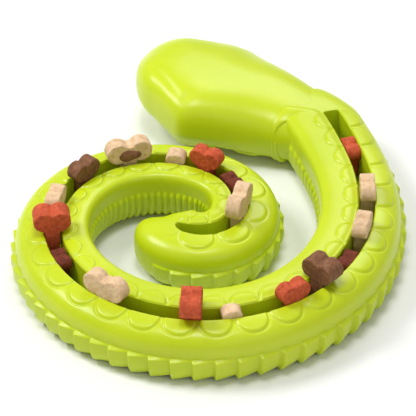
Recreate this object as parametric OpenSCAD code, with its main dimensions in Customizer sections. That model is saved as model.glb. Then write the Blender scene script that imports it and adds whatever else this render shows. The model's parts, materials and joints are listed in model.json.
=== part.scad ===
// Rubber snake that holds dog biscuits in a groove along its belly.
// It lies on its back, coiled clockwise from the head to the tail.
// Every stretch of body is a link that turns about an upright axis, as the rubber bends.

/* [Body] */
// Width of the body behind the neck
neck_w = 37.5; // [35:0.5:39]
// Width of the body at the tail
tail_w = 30.5; // [29:0.5:32]
// Height of the body
body_h = 28; // [27:0.5:29]

/* [Groove] */
// Width of the groove that holds the biscuits
groove_w = 7.8; // [7.4:0.1:8.4]
// Thickness of the rubber under the groove
groove_floor = 6.5; // [5:0.5:8]
// Height that the outer lip lies below the inner lip
lip_drop = 1.6; // [0:0.2:2]

/* [Head] */
// Length of the head from the neck to the snout
head_len = 86; // [82:1:90]
// Width of the head across the jaw corners
jaw_w = 72; // [68:1:76]
// Height of the head
head_h = 36; // [35:0.5:38]

/* [Biscuits] */
// Thickness of a biscuit that stands along the groove
biscuit_t = 6.6; // [6:0.1:6.8]
// Width of a biscuit over its two lobes
lobe_w = 15; // [14:0.5:16]

/* [Hidden] */
$fn = 64;
play = 0.3;                 // gap between neighbouring pieces
lime = [0.77, 0.85, 0.12];
cream = [0.92, 0.79, 0.66];
red = [0.78, 0.31, 0.18];
brown = [0.5, 0.33, 0.25];
dark_red = [0.45, 0.16, 0.1];

// Centreline: equal arcs, each one turning clockwise from the groove's square end to the tail.
arc_len = 39;
radii = [280, 110, 82, 72, 64, 68, 66, 52, 46, 46, 28, 18];
start = [52.3, 51.9];
start_heading = -67.9;
last = len(radii) - 1;
groove_side_start = 3.7;    // the groove lies outside the middle at the neck
groove_side_end = -2;       // and inside it at the tail
groove_stop = 455;          // where the groove ends, along the centreline
tip_s = 37;                 // where the tail's round end starts, along the last arc

function turn(i) = arc_len / radii[i] * 180 / PI;
function heading(i) = i == 0 ? start_heading : heading(i - 1) - turn(i - 1);
function arc_start(i) = i == 0 ? start : arc_point(i - 1, arc_len, 0);
function arc_centre(i) = arc_start(i) + radii[i] * [sin(heading(i)), -cos(heading(i))];
// A point of arc i, s along the centreline from the arc's start and n outside it.
function heading_at(i, s) = heading(i) - s / radii[i] * 180 / PI;
function arc_point(i, s, n) =
    let (a = heading_at(i, s)) arc_centre(i) + (radii[i] + n) * [-sin(a), cos(a)];

// Section of the body, belly up: n is outward from the coil, z is up.
function half_w(i) = (neck_w + (tail_w - neck_w) * i / last) / 2;
function groove_side(i) = groove_side_start + (groove_side_end - groove_side_start) * i / last;
back_side = [[0.35, 0], [0.72, 0.07], [0.92, 0.2], [1, 0.36]];      // shares of half width, height
outer_side = [[1, 0.52], [0.95, 0.7], [0.82, 0.85], [0.62, 0.94]];
inner_side = [[-1, 0.78], [-0.95, 0.91], [-0.84, 1]];
function share(points, w) = [for (p = points) [p[0] * w, p[1] * body_h]];
function mirrored(points) = [for (k = [len(points) - 1:-1:0]) [-points[k][0], points[k][1]]];
function reversed(points) = [for (k = [len(points) - 1:-1:0]) points[k]];
function outline(w) = concat(
    share(back_side, w), share(outer_side, w),
    [[0.4 * w, body_h - lip_drop], [-0.2 * w, body_h]],
    share(reversed(inner_side), w), share(mirrored(back_side), w));

// Knuckles: the body is cut across by upright cylinders about the middle of each arc.
knuckle_clear = 0.9;        // how far a knuckle stands past the body's sides
horn = 13;                  // how far a link's hollow end reaches past its own arc
function knuckle_r(i) = half_w(i) + knuckle_clear;
function hinge(i) = arc_point(i, arc_len / 2, 0);

// Neck: a short tight bend between the back of the head and the groove's square end.
neck_bend_r = 19.8;

// Head: it starts at a line across the neck and points away from the coil.
head_origin = start + [-9.7, 5.7];
head_dir = 152;
lift_x = 14;                // the head's hinge is this far in front of the neck line
lift_z = 14;
lift_r = 17;
jaw_x = 44;                 // from the neck line to the jaw corners
snout_r = 11;
snout_z = 18;
eye_x = 48;
eye_y = 17;
eye_r = 11;

// Biscuits: link, place along the link, kind, colour.
biscuits = [
    [0, 25, "sunk", red],
    [1, 24, "along", cream],
    [2, 11, "along", cream], [2, 29, "deep", dark_red],
    [3, 10, "across", brown], [3, 27, "along", red],
    [4, 16, "top", cream], [4, 33, "across", red],
    [5, 33, "long", cream],
    [6, 28, "deep", dark_red],
    [7, 7, "across", red], [7, 25, "along", cream],
    [8, 11, "along", brown], [8, 35, "long", cream],
    [9, 18, "top", cream], [9, 33, "along", red],
    [10, 10, "deep", dark_red], [10, 35, "long", cream]];
// Kinds: width over the lobes, radius of a lobe, height of its middle, thickness, turn.
kinds = [
    ["along", lobe_w, 4.2, 32.6, biscuit_t, 0],
    ["long", lobe_w + 6, 5.2, 33.6, biscuit_t, 0],
    ["across", lobe_w + 1.6, 4.8, 33.2, 9.2, 90],
    ["sunk", 13, 3.6, 22.6, biscuit_t, 0],
    ["top", 9, 3.4, 26, biscuit_t, 0],
    ["deep", 12, 3, 23.5, biscuit_t, 0]];
biscuit_foot = 9;           // height of a biscuit's lower end
shaft_w = 6.2;

function two_digits(i) = i < 10 ? str("0", i) : str(i);
links = [for (i = [0:last - 1]) str("coil_", two_digits(i + 1))];
treats = [for (k = [1:len(biscuits)]) str("treat_", two_digits(k))];

// Ring of the body's outline about a centre, between two headings of the centreline.
module bend(centre, r, w, from, to) {
    translate(centre) rotate([0, 0, to + 90]) rotate_extrude(angle = from - to)
        translate([r, 0]) polygon(outline(w));
}

module stretch(i, from, to) {
    bend(arc_centre(i), radii[i], half_w(i), heading_at(i, from), heading_at(i, to));
}

module groove(i, from, to) {
    translate(arc_centre(i)) rotate([0, 0, heading_at(i, to) + 90])
        rotate_extrude(angle = heading_at(i, from) - heading_at(i, to))
            translate([radii[i] + groove_side(i) - groove_w / 2, groove_floor])
                square([groove_w, body_h]);
}

module upright(at, r) {
    translate([at[0], at[1], -1]) cylinder(r = r, h = body_h + 2);
}

// Everything ahead of a point, seen along a heading, but for a round end about that point.
module all_but_round_end(at, towards, r) {
    reach = 40;
    difference() {
        translate([at[0], at[1], -2]) rotate([0, 0, towards]) translate([0, -reach, 0])
            cube([reach, 2 * reach, body_h + 4]);
        translate([at[0], at[1], -3]) cylinder(r = r, h = body_h + 6);
    }
}

// A link starts as a knuckle about its own hinge and ends in a hollow for the next one.
module link(i) {
    color(lime) difference() {
        stretch(i, i == 0 ? 0 : -knuckle_clear, arc_len + horn);
        if (i == 0) head_frame() lift_cylinder(lift_r + play, -40, 40);
        if (i > 0) all_but_round_end(hinge(i), heading_at(i, arc_len / 2) + 180, knuckle_r(i));
        upright(hinge(i + 1), knuckle_r(i + 1) + play);
        groove(i, i == 0 ? 0 : -arc_len / 2, arc_len + horn);
    }
}

module tail() {
    groove_end = groove_stop - last * arc_len;
    end_r = half_w(last) + knuckle_clear;
    color(lime) difference() {
        stretch(last, -knuckle_clear, arc_len + horn);
        all_but_round_end(hinge(last), heading_at(last, arc_len / 2) + 180, knuckle_r(last));
        all_but_round_end(arc_point(last, tip_s, 0), heading_at(last, tip_s), end_r);
        groove(last, -arc_len / 2, groove_end);
        translate(concat(arc_point(last, groove_end, groove_side(last)), groove_floor))
            cylinder(d = groove_w - play, h = body_h);
    }
}

module head_frame() {
    translate(head_origin) rotate([0, 0, head_dir]) children();
}

module lift_cylinder(r, from, to) {
    translate([lift_x, to, lift_z]) rotate([90, 0, 0]) cylinder(r = r, h = to - from);
}

module neck() {
    centre = start + neck_bend_r * [sin(start_heading), -cos(start_heading)];
    color(lime) difference() {
        bend(centre, neck_bend_r, half_w(0), head_dir - 180, start_heading);
        head_frame() lift_cylinder(lift_r + play, -40, 40);
    }
}

// The head's two halves mirror each other.
module head_shell() {
    $fn = 32;
    jaw_r = 10;
    hull() {
        translate([8, -22, 3]) cube([1, 44, 27]);
        for (side = [-1, 1]) {
            translate([jaw_x - 4, side * (jaw_w / 2 - jaw_r), 10]) cylinder(r = jaw_r, h = 15);
            translate([jaw_x - 6, side * 20, head_h - 3]) cylinder(r = 8, h = 3);
            translate([jaw_x - 8, side * 18, 3]) cylinder(r = 9, h = 2);
            translate([66, side * 9, snout_z]) sphere(r = snout_r + 1);
        }
        translate([head_len - snout_r, 0, snout_z]) sphere(r = snout_r);
    }
}

module head() {
    color(lime) head_frame() union() {
        head_shell();
        intersection() {
            lift_cylinder(lift_r, -19, 16);
            translate([-10, -30, 0.4]) cube([24, 60, body_h - 0.8]);
        }
        for (side = [-1, 1]) translate([eye_x, side * eye_y, 0])
            cylinder(r1 = eye_r - 5, r2 = eye_r, h = 6);
    }
}

// Outline of a bone biscuit standing on its lower end: x is across it, y is up.
module bone_outline(w, r, z) {
    for (side = [-1, 1]) translate([side * (w / 2 - r), z]) circle(r = r);
    translate([-shaft_w / 2, biscuit_foot]) square([shaft_w, z - biscuit_foot]);
    translate([r - w / 2, z - r * 0.6]) square([w - 2 * r, r * 1.2]);
}

module biscuit(k) {
    i = biscuits[k][0];
    s = biscuits[k][1];
    kind = kinds[search([biscuits[k][2]], kinds)[0]];
    color(biscuits[k][3]) translate(arc_point(i, s, groove_side(i)))
        rotate([90, 0, heading_at(i, s) + kind[5]]) translate([0, 0, -kind[4] / 2])
            linear_extrude(kind[4]) bone_outline(kind[1], kind[2], kind[3]);
}

head();
neck();
for (i = [0:last - 1]) link(i);
tail();
for (k = [0:len(biscuits) - 1]) biscuit(k);
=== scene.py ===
import json
import math

import bpy
import numpy as np
from mathutils import Matrix, Vector, noise


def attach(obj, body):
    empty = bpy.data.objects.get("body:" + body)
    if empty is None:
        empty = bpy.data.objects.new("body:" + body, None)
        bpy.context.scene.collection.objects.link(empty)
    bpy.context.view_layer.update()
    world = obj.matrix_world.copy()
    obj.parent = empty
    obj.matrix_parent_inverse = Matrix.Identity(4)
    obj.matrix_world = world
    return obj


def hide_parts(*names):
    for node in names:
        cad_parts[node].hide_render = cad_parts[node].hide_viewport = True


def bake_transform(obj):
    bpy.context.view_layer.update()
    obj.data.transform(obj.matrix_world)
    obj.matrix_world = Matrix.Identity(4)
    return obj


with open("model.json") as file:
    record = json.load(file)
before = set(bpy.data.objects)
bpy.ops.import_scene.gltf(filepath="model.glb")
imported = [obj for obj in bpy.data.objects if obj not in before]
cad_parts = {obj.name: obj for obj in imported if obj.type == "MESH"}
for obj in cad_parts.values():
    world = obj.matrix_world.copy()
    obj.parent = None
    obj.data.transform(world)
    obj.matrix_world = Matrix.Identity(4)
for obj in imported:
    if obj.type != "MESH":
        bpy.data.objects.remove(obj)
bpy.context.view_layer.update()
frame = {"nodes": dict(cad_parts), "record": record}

# A moulded rubber snake, belly up, with biscuits in the groove along its belly. Its skin is one
# smooth surface over the CAD bodies, cut into a piece for each link.
# Lengths in the shape functions are in millimetres, and meshes are made in metres.
# s runs along the coil from the groove's square end, and n is outward from the coil's centreline.
MM = 0.001
UP = np.array([0, 0, 1.0])
FLOOR_GAP = 0.05            # the skin comes no closer to the floor than this

# The coil's centreline, the same arcs as the CAD links.
ARC = 39.0
RADII = (280, 110, 82, 72, 64, 68, 66, 52, 46, 46, 28, 18)
LAST_ARC = len(RADII) - 1
START_HEADING = math.radians(-67.9)
STEP = 0.25                 # spacing of the points that the centreline is kept as
CURVE_BLUR = 6.0            # the bend changes gradually from arc to arc
LIFT_AHEAD = 14.0           # the head's hinge is this far in front of the neck line

# Where things happen along the coil.
TAPER_END = 430.0           # the body narrows evenly up to here
GROOVE_ROUNDS = 444.0       # the groove's walls start to close in to its round end
GROOVE_CLOSES = 463.0
CAP_START = 464.0           # the tail's round end starts
BODY_END = 480.0

# Sizes of the body's section.
NECK_HALF = 18.75
TAIL_HALF = 15.25
HEIGHT = 28.0
TAIL_SINK = 0.08            # share of the height that is lost by the end of the taper
LIP_DROP = 1.6              # the outer lip is this much lower than the inner one
GROOVE_HALF = 3.65
GROOVE_FLOOR = 6.5
FLOOR_RISE = 1.2            # the floor curves up this much into the groove's walls
LIP_R = 0.5
IN_DROP = 1.1               # the inner strip falls this much towards the groove
SIDE_AT_NECK = 3.55         # the groove lies outside the middle at the neck
CAD_SIDE_AT_NECK = 3.7      # the same for the CAD biscuits
SIDE_LOSS = 5.7             # and moves this far inward by the end of the taper
# Powers of the superellipses: a higher one has squarer corners.
BELLY_OUT_POWER, BELLY_IN_POWER = 3, 8
BACK_OUT_POWER, BACK_IN_POWER = 3.3, 2.6

# Points across each part of the section, from the groove's middle outward and round.
FLOOR_N, WALL_N, LIP_N, STRIP_N, DOME_N = 5, 16, 5, 58, 66
GROOVE_COUNT = FLOOR_N + WALL_N + LIP_N
SIDE_OUT = GROOVE_COUNT + STRIP_N
SIDE_IN = SIDE_OUT + 2 * DOME_N
LIP_IN = SIDE_IN + STRIP_N
ROW_STEP = 0.45             # spacing of the section's rows along the coil
CAP_ROWS = 46

# Relief on the skin.
SCALE_PITCH = 14.3          # rounded belly scales
SCALE_DEPTH_OUT, SCALE_DEPTH_IN = 9.0, 7.0
COIL_LEN = ARC * len(RADII)
BLOCK_PITCH, BLOCK_PITCH_LOSS = 9.6, 2.64   # at the neck, and what is lost over the coil's length
RIB_PITCH, RIB_PITCH_LOSS = 5.5, 0.6
BACK_ROWS = 5
BACK_MARGIN_OUT, BACK_MARGIN_IN = 14.0, 13.0    # from the widest line to the back's scales


def joint(name):
    return next(j for j in frame["record"]["behaviour"]["joints"] if j["name"] == name)


def spread(count, low, high):
    """count values from low to just before high."""
    return low + (high - low) * np.arange(count) / count


def ramp(x, low, high):
    """0 below low, 1 above high, smooth between."""
    t = np.clip((x - low) / (high - low), 0, 1)
    return t * t * (3 - 2 * t)


def smooth_curve(xs, ys, at, blur):
    """A gently rounded curve near the points (xs, ys)."""
    fine = np.arange(xs[0] - 4 * blur, xs[-1] + 4 * blur, STEP)
    values = np.interp(fine, xs, ys)
    kernel = np.exp(-0.5 * (np.arange(-3 * blur, 3 * blur + 0.1, STEP) / blur) ** 2)
    padded = np.pad(values, len(kernel) // 2, mode="edge")
    soft = np.convolve(padded, kernel / kernel.sum(), mode="valid")
    return np.interp(at, fine, soft[: len(fine)])


# ---- centreline ----

def make_centreline():
    """Place and heading along the coil, laid over the CAD hinges as closely as it can be."""
    s = np.arange(-8 * CURVE_BLUR, BODY_END + 20, STEP)
    arc = np.clip((s // ARC).astype(int), 0, LAST_ARC)
    bend = 1 / np.array(RADII, float)[arc]
    kernel = np.exp(-0.5 * (np.arange(-3, 3.01, STEP / CURVE_BLUR)) ** 2)
    padded = np.pad(bend, len(kernel) // 2, mode="edge")
    bend = np.convolve(padded, kernel / kernel.sum(), mode="valid")[: len(s)]
    heading = -np.cumsum(bend) * STEP
    heading += START_HEADING - np.interp(0, s, heading)
    x = np.cumsum(np.cos(heading)) * STEP
    y = np.cumsum(np.sin(heading)) * STEP
    hinges = [joint("coil_bend_%02d" % k)["pos_m"] for k in range(1, len(RADII))]
    middles = [ARC * (k + 0.5) for k in range(1, len(RADII))]
    x += np.mean([h[0] / MM for h in hinges]) - np.mean(np.interp(middles, s, x))
    y += np.mean([h[1] / MM for h in hinges]) - np.mean(np.interp(middles, s, y))
    return s, x, y, heading


LINE_S, LINE_X, LINE_Y, LINE_H = make_centreline()


def place(s, n, z):
    """Points at s along the coil, n outside its centreline and z above the floor."""
    x = np.interp(s, LINE_S, LINE_X)
    y = np.interp(s, LINE_S, LINE_Y)
    heading = np.interp(s, LINE_S, LINE_H)
    return np.stack([x - np.sin(heading) * n, y + np.cos(heading) * n, z], axis=-1)


def heading_vector(s):
    heading = float(np.interp(s, LINE_S, LINE_H))
    return np.array([math.cos(heading), math.sin(heading), 0.0])


# ---- section of the body ----

def oval(theta, a, b, power):
    """Point of a superellipse in direction theta."""
    c, k = np.cos(theta), np.sin(theta)
    r = ((np.abs(c) / a) ** power + (np.abs(k) / b) ** power) ** (-1 / power)
    return r * c, r * k


def top_z(n, a, b, power):
    """Height of the superellipse above its middle, n to the side."""
    return b * (1 - np.clip(np.abs(n) / a, 0, 1) ** power) ** (1 / power)


def groove_floor(side, width, floor, share):
    """From the groove's middle at share 0 to its wall at 1. width is negative on the inner side."""
    return side + width * share, floor + 0 * side + FLOOR_RISE * share ** 6


def groove_wall(side, width, lip, floor, share):
    """From the foot of the wall at share 0 to its lip at 1."""
    foot = floor + FLOOR_RISE
    return side + width + 0 * share, foot + (lip - LIP_R - foot) * share


def lip_arc(edge, lip, start, end):
    turn = spread(LIP_N, start, end)[None, :]
    return edge + LIP_R * np.cos(turn), lip - LIP_R + LIP_R * np.sin(turn)


def shut_groove(n, z, opened, side, edges, lips):
    """Spreads the groove's points over the closed belly where opened falls to 0."""
    crest = (lips[0] + lips[1]) / 2
    outer = slice(None, GROOVE_COUNT)
    inner = slice(-GROOVE_COUNT, None)
    sides = ((outer, edges[0], lips[0], 0, 1), (inner, edges[1], lips[1], 1, 0))
    for part, edge, lip, start, end in sides:
        over = spread(GROOVE_COUNT, start, end)[None, :]
        flat_n = side + (edge - side) * over
        flat_z = crest + (lip - crest) * over
        n[:, part] = flat_n + (n[:, part] - flat_n) * opened
        z[:, part] = flat_z + (z[:, part] - flat_z) * opened


def section(half, height, side, width, opened, in_power=BELLY_IN_POWER):
    """n and z round the section, one row for each entry of the arguments."""
    half, height, side, width, opened = (
        np.asarray(v, float)[:, None] for v in (half, height, side, width, opened))
    mid = height / 2
    rise_out, rise_in = mid - LIP_DROP, mid
    edge_out = side + width + LIP_R
    edge_in = side - width - LIP_R
    lip_out = top_z(edge_out, half, rise_out, BELLY_OUT_POWER)
    lip_in = top_z(edge_in, half, rise_in, in_power)
    floor = GROOVE_FLOOR - mid
    to_wall = spread(FLOOR_N, 0, 1)[None, :]
    to_lip = spread(WALL_N, 0, 1)[None, :]
    over = spread(STRIP_N, 0, 1)[None, :]

    turn_out = np.arctan2(lip_out, edge_out)
    strip_out = oval(turn_out * (1 - over), half, rise_out, BELLY_OUT_POWER)
    down = spread(DOME_N, 0, -math.pi / 2)[None, :] + 0 * side
    dome_out = oval(down, half, mid, BACK_OUT_POWER)
    dome_in = oval(down - math.pi / 2, half, mid, BACK_IN_POWER)
    turn_in = np.arctan2(lip_in, edge_in)
    strip_n, strip_z = oval(math.pi + (turn_in - math.pi) * over, half, rise_in, in_power)
    strip_z = strip_z - IN_DROP * np.exp(-((edge_in - strip_n) / 2.4) ** 2)
    lip_in = lip_in - IN_DROP

    parts = [
        groove_floor(side, width, floor, to_wall),
        groove_wall(side, width, lip_out, floor, to_lip),
        lip_arc(edge_out, lip_out, math.pi, math.pi / 2),
        strip_out,
        dome_out,
        dome_in,
        (strip_n, strip_z),
        lip_arc(edge_in, lip_in, math.pi / 2, 0),
        groove_wall(side, -width, lip_in, floor, 1 - to_lip),
        groove_floor(side, -width, floor, 1 - to_wall)]
    n = np.hstack([p[0] + 0 * p[1] for p in parts])
    z = np.hstack([p[1] + 0 * p[0] for p in parts])
    shut_groove(n, z, opened, side, (edge_out, edge_in), (lip_out, lip_in))
    return n, z + mid


def half_width(s):
    return NECK_HALF + (TAIL_HALF - NECK_HALF) * np.clip(s / TAPER_END, 0, 1)


def closing(s, start, end):
    """1 up to start, then falling to 0 at end as a quarter circle does."""
    return np.sqrt(np.clip(1 - (np.clip(s - start, 0, None) / (end - start)) ** 2, 0, 1))


def body_rows():
    """Values of s for the body's rows: even, but for every cut and close rows at both ends."""
    start = [0.0, 0.25, 0.6]
    coil = list(np.arange(1.0, CAP_START, ROW_STEP))
    cuts = [ARC * k for k in range(1, len(RADII))]
    coil = [s for s in coil if min(abs(s - c) for c in cuts) > 0.2]
    quarter = np.sin(np.linspace(0, 1, CAP_ROWS) * math.pi / 2)
    cap = list(CAP_START + (BODY_END - CAP_START) * quarter)
    return np.array(sorted(start + coil + cuts + cap[:-1] + [BODY_END - 0.001]))


def body_surface(s):
    """One ring of points for each s, with the groove open and the tail's end rounded."""
    height = HEIGHT * (1 - TAIL_SINK * (np.clip(s, 0, None) / TAPER_END) ** 2)
    side = SIDE_AT_NECK - SIDE_LOSS * np.clip(s / TAPER_END, 0, 1)
    width = np.maximum(GROOVE_HALF * closing(s, GROOVE_ROUNDS, GROOVE_CLOSES), 0.25)
    opened = ramp(s, 0.0, 0.5) * (1 - ramp(s, GROOVE_CLOSES - 2, GROOVE_CLOSES))
    n, z = section(half_width(s), height, side, width, opened)
    cap = np.maximum(closing(s, CAP_START, BODY_END), 0.012)[:, None]
    middle = (height * 0.46)[:, None]
    return place(s[:, None], n * cap, middle + (z - middle) * cap)


# ---- neck, a loft from the back of the head to the groove's square end ----

def head_axes():
    lift = joint("head_lift")
    ahead = np.array([-lift["axis"][1], lift["axis"][0], 0.0])
    left = np.array([-ahead[1], ahead[0], 0.0])
    origin = np.array([lift["pos_m"][0] / MM, lift["pos_m"][1] / MM, 0.0]) - LIFT_AHEAD * ahead
    return origin, ahead, left


HEAD_O, AHEAD, LEFT = head_axes()
NECK_ROWS = 34
RIM_X = 2.5                 # the rim stands this far in front of the neck line
RIM_SIDE = -0.3
RIM_TILT = 0.17             # how far its left side stands ahead, for each mm across
RIM_HALF = 20.4
RIM_HEIGHT = 29.4
RIM_POWER = 2.8
NECK_START = -14.0          # s at the rim


def rim_ring(grow, x):
    """A closed ring across the neck, x in front of the neck line, grow its share of the rim's size."""
    n, z = section([RIM_HALF], [RIM_HEIGHT], [0], [GROOVE_HALF], [0], RIM_POWER)
    mid = RIM_HEIGHT / 2
    z = mid + (z - mid) * grow
    across = RIM_SIDE - n * grow
    x = x + RIM_TILT * across
    return (HEAD_O + AHEAD * x[..., None] + LEFT * across[..., None] + UP * z[..., None])[0]


def neck_surface():
    """The rolled rim, then curves that leave the rim and meet the body smoothly."""
    roll = ((0.93, -1.5), (0.965, 0.5), (0.985, 0.7), (0.997, 0.3), (1.0, -0.4))
    rim = [rim_ring(grow, RIM_X + ahead) for grow, ahead in roll]
    first = rim_ring(0.998, RIM_X - 1.4)
    last = body_surface(np.array([0.0]))[0]
    reach = np.linalg.norm(last - first, axis=1)[:, None] * 0.75
    leave = -reach * AHEAD
    arrive = reach * heading_vector(0)
    rows = []
    for t in np.linspace(0, 1, NECK_ROWS)[:-1]:
        from_first = 2 * t ** 3 - 3 * t ** 2 + 1
        from_leave = t ** 3 - 2 * t ** 2 + t
        from_arrive = t ** 3 - t ** 2
        rows.append(from_first * first + from_leave * leave + (1 - from_first) * last
                    + from_arrive * arrive)
    return np.array(rim + rows)


# ---- relief on the skin, in millimetres of height ----

def tongue(x, y, depth):
    """Height of one rounded belly scale: x from -1 to 1 along, y from 0 to depth across."""
    e = (np.abs(x / 0.95) ** 2.2 + np.clip(y / depth, 0, None) ** 2.2) ** (1 / 2.2)
    raised = 0.42 * (1 - ramp(e, 0.82, 0.97))
    line = -0.36 * np.exp(-((e - 1.0) / 0.06) ** 2)
    return np.where(y > -1, raised + line, 0)


def saw(x, fall):
    """Rises from 0 to 1 towards the tail, then drops."""
    return np.where(x < 1 - fall, x / (1 - fall), (1 - x) / fall)


def belly_scales(s, along, lip_out, side_out, side_in, lip_in):
    """A row of rounded scales on each side of the groove."""
    x = 2 * ((s / SCALE_PITCH) % 1) - 1
    on_outer = (along >= lip_out) & (along < side_out)
    on_inner = (along > side_in) & (along <= lip_in)
    outer = np.where(on_outer, tongue(x, along - lip_out + 0.3, SCALE_DEPTH_OUT), 0)
    return outer + np.where(on_inner, tongue(x, lip_in - along + 0.3, SCALE_DEPTH_IN), 0)


def block_pitch(s):
    return BLOCK_PITCH - BLOCK_PITCH_LOSS * s / COIL_LEN


def rib_pitch(s):
    return RIB_PITCH - RIB_PITCH_LOSS * s / COIL_LEN


def side_blocks(s, down):
    """Tall blocks on the outer side, down the distance below its widest line."""
    x = (s / block_pitch(s)) % 1
    band = ramp(down, -0.2, 0.5) * (1 - ramp(down + 1.6 * (2 * x - 1) ** 2, 13.6, 15.0))
    return band * ramp(s, 0, 14) * (0.4 + 2.0 * saw(x, 0.10))


def back_scales(s, along, side_out, side_in):
    """Rows of overlapping scales over the back, cut inward so that the back stays flat."""
    span = np.maximum(side_in - BACK_MARGIN_IN - (side_out + BACK_MARGIN_OUT), 1)
    across = (along - side_out - BACK_MARGIN_OUT) / span * BACK_ROWS
    row = np.clip(np.floor(across), 0, BACK_ROWS - 1)
    y = 2 * (across - row) - 1
    share = (row + 0.5) / BACK_ROWS
    pitch = block_pitch(s) + (rib_pitch(s) - block_pitch(s)) * share
    x = (s / pitch + 0.5 * ((row + 1) % 2) + 0.32 * y ** 2) % 1
    height = (0.2 + 1.15 * saw(x, 0.14)) * (1 - 0.8 * np.abs(y) ** 3)
    on_back = ramp(across, -0.02, 0.12) * (1 - ramp(across, BACK_ROWS - 0.12, BACK_ROWS + 0.02))
    return on_back * (height - 1.35)


def inner_ribs(s, up):
    """Upright ribs on the inner side, up the distance above its widest line."""
    x = (s / rib_pitch(s)) % 1
    band = ramp(up, -13.2, -11.5) * (1 - ramp(up + 1.2 * (2 * x - 1) ** 2, 2.0, 4.6))
    return band * (1 - ramp(s, 440, 470)) * 1.2 * np.sin(math.pi * x) ** 0.8


def relief(s, along):
    """Height over the whole skin. along is the distance round the section from its start."""
    s = s[:, None]
    lip_out, side_out, side_in, lip_in = (
        along[:, k][:, None] for k in (GROOVE_COUNT, SIDE_OUT, SIDE_IN, LIP_IN))
    h = belly_scales(s, along, lip_out, side_out, side_in, lip_in)
    h = h + side_blocks(s, along - side_out)
    h = h + back_scales(s, along, side_out, side_in)
    ribs = inner_ribs(s, along - side_in)
    on_body = ramp(s, -1, 5)
    on_coil = on_body * (1 - ramp(s, 452, 466))
    return (h + ribs) * on_coil + ribs * ramp(s, -13, -10) * (1 - on_body)


def normals_of(points):
    """Unit normals of a grid of points that closes round its second index."""
    along = np.gradient(points, axis=0)
    round_ = np.roll(points, -1, axis=1) - np.roll(points, 1, axis=1)
    normal = np.cross(along, round_)
    length = np.linalg.norm(normal, axis=-1, keepdims=True)
    return normal / np.maximum(length, 1e-9)


def mesh_from_grid(name, points, normals, cap_last=False):
    """A smooth mesh from a closed grid, in metres."""
    rows, cols = points.shape[:2]
    index = np.arange(rows * cols).reshape(rows, cols)
    nxt = np.roll(index, -1, axis=1)
    quads = np.stack([index[:-1], index[1:], nxt[1:], nxt[:-1]], axis=-1).reshape(-1, 4)
    faces = quads.tolist()
    if cap_last:
        faces.append(index[-1].tolist())
    mesh = bpy.data.meshes.new(name)
    mesh.from_pydata((points.reshape(-1, 3) * MM).tolist(), [], faces)
    mesh.validate()
    mesh.shade_smooth()
    mesh.normals_split_custom_set_from_vertices(normals.reshape(-1, 3).tolist())
    obj = bpy.data.objects.new(name, mesh)
    bpy.context.scene.collection.objects.link(obj)
    return obj


# ---- materials ----

def new_material(name):
    """A material with its nodes, its links and its main shader."""
    mat = bpy.data.materials.new(name)
    mat.use_nodes = True
    nodes = mat.node_tree.nodes
    return mat, nodes, mat.node_tree.links, nodes["Principled BSDF"]


def noise_node(nodes, links, scale, detail, rough=0.5):
    where = nodes.new("ShaderNodeTexCoord")
    tex = nodes.new("ShaderNodeTexNoise")
    tex.inputs["Scale"].default_value = scale
    tex.inputs["Detail"].default_value = detail
    tex.inputs["Roughness"].default_value = rough
    links.new(where.outputs["Object"], tex.inputs["Vector"])
    return tex


def colour_ramp(nodes, links, source, stops):
    node = nodes.new("ShaderNodeValToRGB")
    elements = node.color_ramp.elements
    while len(elements) < len(stops):
        elements.new(0.5)
    for element, (where, colour) in zip(elements, stops):
        element.position = where
        element.color = (*colour, 1)
    links.new(source, node.inputs["Fac"])
    return node


def bump(nodes, links, height, strength, distance, after=None):
    node = nodes.new("ShaderNodeBump")
    node.inputs["Strength"].default_value = strength
    node.inputs["Distance"].default_value = distance
    links.new(height, node.inputs["Height"])
    if after is not None:
        links.new(after.outputs["Normal"], node.inputs["Normal"])
    return node


def lime_rubber():
    """Soft translucent moulding rubber with a satin skin and faint flow marks."""
    mat, nodes, links, shader = new_material("lime_rubber")
    clouds = noise_node(nodes, links, 28, 3)
    tint = colour_ramp(nodes, links, clouds.outputs["Fac"], [
        (0.30, (0.485, 0.605, 0.005)), (0.55, (0.530, 0.642, 0.009)), (0.80, (0.570, 0.675, 0.014))])
    links.new(tint.outputs["Color"], shader.inputs["Base Color"])
    gloss = noise_node(nodes, links, 160, 4, 0.6)
    sheen = nodes.new("ShaderNodeMapRange")
    sheen.inputs["To Min"].default_value = 0.25
    sheen.inputs["To Max"].default_value = 0.38
    links.new(gloss.outputs["Fac"], sheen.inputs["Value"])
    links.new(sheen.outputs["Result"], shader.inputs["Roughness"])
    shader.inputs["Subsurface Weight"].default_value = 0.25
    shader.inputs["Subsurface Radius"].default_value = (0.7, 1.0, 0.05)
    shader.inputs["Subsurface Scale"].default_value = 0.002
    shader.inputs["Specular IOR Level"].default_value = 0.42
    wave = noise_node(nodes, links, 90, 2)
    grain = noise_node(nodes, links, 1400, 2)
    soft = bump(nodes, links, wave.outputs["Fac"], 0.35, 0.0004)
    fine = bump(nodes, links, grain.outputs["Fac"], 0.10, 0.00006, soft)
    links.new(fine.outputs["Normal"], shader.inputs["Normal"])
    return mat


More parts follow.
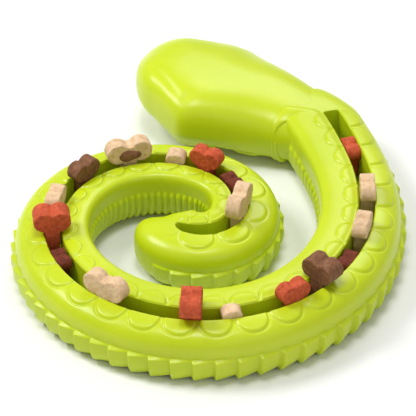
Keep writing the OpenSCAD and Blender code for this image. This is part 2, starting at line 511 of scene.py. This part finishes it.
def biscuit(name, dark, mid, light):
    """Dry baked dough: mottled crumb, small pits and paler rubbed spots."""
    mat, nodes, links, shader = new_material(name)
    crumb = noise_node(nodes, links, 520, 6, 0.65)
    tint = colour_ramp(nodes, links, crumb.outputs["Fac"], [(0.30, dark), (0.52, mid), (0.74, light)])
    patch = noise_node(nodes, links, 120, 2)
    shade = colour_ramp(nodes, links, patch.outputs["Fac"], [(0.35, (0.88, 0.88, 0.88)), (0.7, (1, 1, 1))])
    mix = nodes.new("ShaderNodeMix")
    mix.data_type = "RGBA"
    mix.blend_type = "MULTIPLY"
    mix.inputs["Factor"].default_value = 1
    links.new(tint.outputs["Color"], mix.inputs["A"])
    links.new(shade.outputs["Color"], mix.inputs["B"])
    links.new(mix.outputs["Result"], shader.inputs["Base Color"])
    shader.inputs["Roughness"].default_value = 0.78
    shader.inputs["Specular IOR Level"].default_value = 0.3
    where = nodes.new("ShaderNodeTexCoord")
    pits = nodes.new("ShaderNodeTexVoronoi")
    pits.inputs["Scale"].default_value = 900
    links.new(where.outputs["Object"], pits.inputs["Vector"])
    coarse = bump(nodes, links, crumb.outputs["Fac"], 0.5, 0.0004)
    fine = bump(nodes, links, pits.outputs["Distance"], 0.25, 0.0002, coarse)
    links.new(fine.outputs["Normal"], shader.inputs["Normal"])
    return mat


LIME = lime_rubber()
BISCUITS = {
    "biscuit_cream": biscuit(
        "biscuit_cream", (0.60, 0.38, 0.20), (0.76, 0.53, 0.32), (0.84, 0.62, 0.41)),
    "biscuit_red": biscuit(
        "biscuit_red", (0.38, 0.046, 0.016), (0.56, 0.090, 0.030), (0.68, 0.14, 0.055)),
    "biscuit_brown": biscuit(
        "biscuit_brown", (0.13, 0.050, 0.022), (0.22, 0.095, 0.042), (0.30, 0.145, 0.072)),
    "biscuit_dark_red": biscuit(
        "biscuit_dark_red", (0.10, 0.014, 0.006), (0.17, 0.032, 0.012), (0.25, 0.055, 0.022)),
}


# ---- skin pieces ----

def link_node(arc):
    return "tail" if arc == LAST_ARC else "coil_%02d" % (arc + 1)


def make_skin():
    """The neck and coil as one surface, cut into a piece for each link."""
    s_body = body_rows()
    neck = neck_surface()
    surface = np.concatenate([neck, body_surface(s_body)])
    s = np.concatenate([np.linspace(NECK_START, -0.3, len(neck)), s_body])
    steps = np.linalg.norm(np.diff(surface, axis=1), axis=2)
    along = np.concatenate([np.zeros((len(s), 1)), np.cumsum(steps, axis=1)], axis=1)
    skin = surface + normals_of(surface) * relief(s, along)[..., None]
    skin[..., 2] = np.maximum(skin[..., 2], FLOOR_GAP)
    normals = normals_of(skin)
    normals[-1] = heading_vector(BODY_END)

    for arc in range(len(RADII)):
        first = 0 if arc == 0 else int(np.argmin(np.abs(s - arc * ARC)))
        last = len(s) - 1 if arc == LAST_ARC else int(np.argmin(np.abs(s - (arc + 1) * ARC)))
        node = link_node(arc)
        piece = mesh_from_grid("skin_" + node, skin[first:last + 1], normals[first:last + 1],
                               cap_last=arc == LAST_ARC)
        piece.data.materials.append(LIME)
        if arc == 0:
            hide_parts("neck", "coil_01")
            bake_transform(piece)
        else:
            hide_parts(node)
            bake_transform(piece)


# ---- head ----

# x runs from the neck line to the snout, y to the head's left.
HEAD_LEN = 81.5
NOSE_X = 64.0               # the snout's round end starts here
NOSE_ROWS = 76
ROUND_N = 300               # points round the head
FAR_SIDE = 0.07             # the right side is this share narrower
ROLL = math.radians(3.5)    # and the head tips this much towards it
EYE_X, EYE_Y, EYE_R = 49.0, 18.0, 10.5


def head_half(x):
    """Half the head's width."""
    xs = (-4, 0, 6, 14, 24, 34, 41, 44, 47, 54, 60, NOSE_X, 80)
    ys = (18.4, 19.3, 20.6, 23.4, 27.6, 32.4, 35.9, 36.9, 35.8, 32.4, 29.6, 27.6, 24.0)
    return smooth_curve(xs, ys, x, 2.8)


def nose_share(x):
    """1 over the head, closing to a round end at the snout."""
    u = np.clip((x - NOSE_X) / (HEAD_LEN - NOSE_X), 0, 1)
    return np.maximum(np.sqrt(1 - u ** 2), 0.01)


def head_levels(x):
    """Height of the belly, the widest line and the back of the head."""
    xs = (-4, 0, 6, 14, 26, 38, 48, 58, 66, 73, 79, 83, 86)
    belly_z = (27.4, 28.2, 29.4, 31.0, 33.2, 34.8, 35.9, 36.8, 36.8, 35.8, 34.0, 32.0, 30.0)
    back_z = (1.6, 1.3, 1.3, 1.5, 2.6, 4.0, 4.8, 6.0, 7.8, 9.8, 12.0, 13.6, 15.4)
    belly = smooth_curve(xs, belly_z, x, 2)
    back = smooth_curve(xs, back_z, x, 2)
    wide = smooth_curve((-4, 20, 44, 60, 86), (14.8, 16.2, 17.4, 19.0, 22.6), x, 3)
    return belly, wide, back


def hollow(x, y, cx, cy, rx, ry):
    """A round dip or bump of height 1 about (cx, cy)."""
    return np.exp(-((x - cx) / rx) ** 2 - ((y - cy) / ry) ** 2)


def mouth_relief(x, y):
    """The mouth's line and the jaw's notches, on the belly."""
    inset = 6.0 + 4.0 * np.clip((x - 44) / 30, 0, 1)
    from_line = np.abs(y) - (head_half(x) * nose_share(x) - inset)
    chin = -0.55 * np.exp(-(from_line / 2.4) ** 2) * ramp(x, 40, 54) * (1 - ramp(x, 66, 74))
    return chin - 0.45 * hollow(x, np.abs(y), 44.5, 28.0, 2.2, 3.5)


def eye_relief(x, y, side):
    """One eye with its brow, and the nostril and pad on the same side."""
    r = np.hypot(x - EYE_X, y - side * EYE_Y)
    ball = 4.2 * np.sqrt(np.clip(1 - (r / EYE_R) ** 2, 0, 1))
    pupil = 0.5 * np.exp(-(np.hypot(x - EYE_X - 1, y - side * (EYE_Y - 1)) / 2.2) ** 2)
    crease = -1.2 * np.exp(-((r - EYE_R - 0.4) / 0.9) ** 2)
    lid = 0.8 * np.exp(-((r - EYE_R - 2.4) / 1.2) ** 2)
    brow_r = np.hypot(x - EYE_X + 2, y - side * (EYE_Y - 1))
    brow = 1.5 * np.exp(-((brow_r - EYE_R - 4.5) / 1.7) ** 2) * ramp(EYE_X - x, -2, 5)
    nostril = -1.9 * hollow(x, y, 77, side * 6.2, 1.5, 1.3)
    pad_r = np.hypot((x - 20) / 1.2, y - side * 15)
    pad = 0.9 * (1 - ramp(pad_r, 5.4, 6.6)) - 0.7 * np.exp(-((pad_r - 6.6) / 0.6) ** 2)
    return np.where(r < EYE_R, ball + pupil, 0) + crease + lid + brow + nostril + pad


def face_relief(x, y):
    """Everything on the head's back: eyes, ridge, bumps and lip."""
    eyes = eye_relief(x, y, -1) + eye_relief(x, y, 1)
    ridge = 1.1 * np.exp(-(y / (3.4 - 0.02 * x)) ** 2) * ramp(x, 32, 40) * (1 - ramp(x, 62, 70))
    bumps = 1.3 * hollow(x, y, 64, 4, 4.2, 2.0) + 0.6 * hollow(x, y, 63, -13, 3, 3)
    bumps = bumps + 1.0 * hollow(x, y, 29, 0, 3, 2)
    lip = -0.8 * np.exp(-((head_half(x) - np.abs(y) - 3.0) / 1.0) ** 2) * ramp(x, 46, 56)
    return eyes + ridge + bumps + lip


def head_surface():
    """Points over the head, and each one's x, y and whether it is on the belly."""
    body = np.arange(-4, NOSE_X, 0.6)
    quarter = np.sin(np.linspace(0, 1, NOSE_ROWS) * math.pi / 2)
    nose = NOSE_X + (HEAD_LEN - NOSE_X) * quarter
    x = np.concatenate([body, nose])[:, None]
    t = spread(ROUND_N, 0, 2 * math.pi)[None, :]
    belly, wide, back = head_levels(x)
    shut = nose_share(x)
    rise = (belly - wide) * shut ** 0.7
    fall = (wide - back) * shut ** 0.7
    past_neck = ramp(x, 8, 40)
    power_belly = np.where(np.cos(t) > 0, 2.6 + 0.6 * past_neck, 2.5 - 0.55 * past_neck)
    power = np.where(np.sin(t) > 0, power_belly, 2.6)
    y, up = oval(t, head_half(x) * shut, np.where(np.sin(t) > 0, rise, fall), power)
    y = np.where(y < 0, y * (1 - FAR_SIDE * past_neck), y)
    x = x + 0 * t
    z = wide + up + y * np.sin(ROLL * past_neck)
    shift = RIM_SIDE * (1 - ramp(x, 0, 26))
    points = HEAD_O + x[..., None] * AHEAD + (y + shift)[..., None] * LEFT + z[..., None] * UP
    return points, x, y, up > 0


def make_head():
    smooth, x, y, on_belly = head_surface()
    normal = -normals_of(smooth)
    facing = np.clip(np.abs(normal[..., 2]) * 1.3, 0, 1)
    height = np.where(on_belly, mouth_relief(x, y), face_relief(x, y)) * facing * ramp(x, 2, 8)
    skin = smooth + normal * height[..., None]
    skin[..., 2] = np.maximum(skin[..., 2], FLOOR_GAP)
    normals = -normals_of(skin)
    normals[-1] = AHEAD
    head = mesh_from_grid("skin_head", skin[:, ::-1], normals[:, ::-1], cap_last=True)
    head.data.materials.append(LIME)
    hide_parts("head")
    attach(head, "head")


# ---- biscuits ----

CRUMB = 0.42                # size of the cells that a crust is rebuilt from
CRUST_DEPTH = 0.14
PUSH = 2.5                  # some biscuits stand this much deeper than their CAD solids
PUSHED_IN = (2, 3, 6, 9, 12, 13, 14, 16, 18)
FILLED = "treat_14"


def rough_up(mesh, seed, depth):
    """Moves each point along its normal by a little noise, as a baked crust has."""
    co = np.array([v.co for v in mesh.vertices])
    normal = np.array([v.normal for v in mesh.vertices])
    push = np.empty(len(co))
    for k, p in enumerate(co):
        q = Vector(p) / MM
        offset = Vector((seed * 7.3, 0, 0))
        push[k] = noise.noise(q * 0.35 + offset) + 0.5 * noise.noise(q * 1.1 + offset)
    co = co + normal * (push * depth)[:, None]
    mesh.vertices.foreach_set("co", co.ravel())
    mesh.update()


def make_biscuit(node, slot, seed, sink):
    """A crust with softened edges over the CAD biscuit."""
    source = frame["nodes"][node]
    obj = bpy.data.objects.new("crust_" + node, source.data.copy())
    bpy.context.scene.collection.objects.link(obj)
    remesh = obj.modifiers.new("remesh", "REMESH")
    remesh.mode = "VOXEL"
    remesh.voxel_size = CRUMB * MM
    soften = obj.modifiers.new("soften", "SMOOTH")
    soften.factor = 0.5
    soften.iterations = 4
    bpy.context.view_layer.update()
    shape = bpy.data.meshes.new_from_object(obj.evaluated_get(bpy.context.evaluated_depsgraph_get()))
    obj.modifiers.clear()
    obj.data = shape
    rough_up(shape, seed, CRUST_DEPTH * MM)
    shape.transform(Matrix.Translation((0, 0, -sink * MM)))
    shape.materials.clear()
    shape.materials.append(BISCUITS[slot])
    shape.shade_smooth()
    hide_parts(node)
    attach(obj, node)


def make_filling(node):
    """The darker filling that shows on the inner face of a rolled biscuit."""
    corners = np.array([c[:] for c in frame["nodes"][node].bound_box]) / MM
    s = LINE_S[np.argmin(np.hypot(LINE_X - corners[:, 0].mean(), LINE_Y - corners[:, 1].mean()))]
    middle_z = corners[:, 2].max() - PUSH - 6.4
    u, v = np.meshgrid(np.linspace(0.001, 1, 24), spread(48, 0, 2 * math.pi), indexing="ij")
    level = math.pi * (u - 0.5) * 0.999
    wide = np.cos(level)
    along = 5.6 * wide * np.cos(v)
    across = -2.1 + 2.3 * np.sin(level)
    height = middle_z + (3.0 + 0.5 * np.cos(3 * v)) * wide * np.sin(v)
    side = CAD_SIDE_AT_NECK - SIDE_LOSS * s / TAPER_END
    middle = place(np.array([s]), np.array([side]), np.array([0.0]))[0]
    forward = heading_vector(s)
    outward = np.array([-forward[1], forward[0], 0])
    points = middle + along[..., None] * forward + across[..., None] * outward + height[..., None] * UP
    lump = mesh_from_grid("filling_" + node, points, normals_of(points), cap_last=True)
    rough_up(lump.data, 40, 0.25 * MM)
    lump.data.materials.append(BISCUITS["biscuit_brown"])
    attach(lump, node)


def make_biscuits():
    slots = {part["node"]: part["material_slot"] for part in frame["record"]["subparts"]}
    names = sorted(name for name in slots if name.startswith("treat_"))
    deeper = ["treat_%02d" % k for k in PUSHED_IN]
    for seed, name in enumerate(names):
        make_biscuit(name, slots[name], seed, PUSH if name in deeper else 0)
    make_filling(FILLED)


# ---- stage ----

def make_floor():
    mesh = bpy.data.meshes.new("floor")
    half = 6.0
    corners = [(-half, -half, 0), (half, -half, 0), (half, half, 0), (-half, half, 0)]
    mesh.from_pydata(corners, [], [(0, 1, 2, 3)])
    floor = bpy.data.objects.new("floor", mesh)
    bpy.context.scene.collection.objects.link(floor)
    mat, nodes, links, shader = new_material("pale_floor")
    tint = colour_ramp(nodes, links, noise_node(nodes, links, 3, 2).outputs["Fac"], [
        (0.3, (0.86, 0.86, 0.86)), (0.7, (0.88, 0.88, 0.88))])
    links.new(tint.outputs["Color"], shader.inputs["Base Color"])
    shader.inputs["Roughness"].default_value = 0.9
    mesh.materials.append(mat)


def area_light(name, at, size, power):
    """A round soft light that faces the middle of the object."""
    data = bpy.data.lights.new(name, "AREA")
    data.shape = "DISK"
    data.size = size
    data.energy = power
    light = bpy.data.objects.new(name, data)
    light.location = at
    light.rotation_euler = (-Vector(at)).to_track_quat("-Z", "Y").to_euler()
    bpy.context.scene.collection.objects.link(light)


def make_lights():
    world = bpy.data.worlds.new("studio")
    bpy.context.scene.world = world
    world.use_nodes = True
    background = world.node_tree.nodes["Background"]
    background.inputs["Color"].default_value = (1, 1, 1, 1)
    background.inputs["Strength"].default_value = 0.42
    area_light("key", (-0.75, 0.15, 0.95), 0.5, 8)
    area_light("top", (-0.05, -0.15, 1.2), 0.4, 5)
    area_light("fill", (0.5, -0.9, 0.6), 0.8, 1)
    area_light("back", (0.3, 0.9, 0.9), 0.6, 4)


def make_camera():
    elevation = math.radians(38)
    distance = 1.9
    target = Vector((0.0, -0.021, 0.028))
    data = bpy.data.cameras.new("camera")
    data.sensor_width = 36
    data.lens = 372
    data.clip_end = 20
    camera = bpy.data.objects.new("camera", data)
    back = Vector((0, -math.cos(elevation), math.sin(elevation)))
    camera.location = target + back * distance
    camera.rotation_euler = (-back).to_track_quat("-Z", "Y").to_euler()
    bpy.context.scene.collection.objects.link(camera)
    bpy.context.scene.camera = camera


bpy.context.scene.view_settings.view_transform = "Standard"
make_camera()
make_skin()
make_head()
make_biscuits()
make_floor()
make_lights()
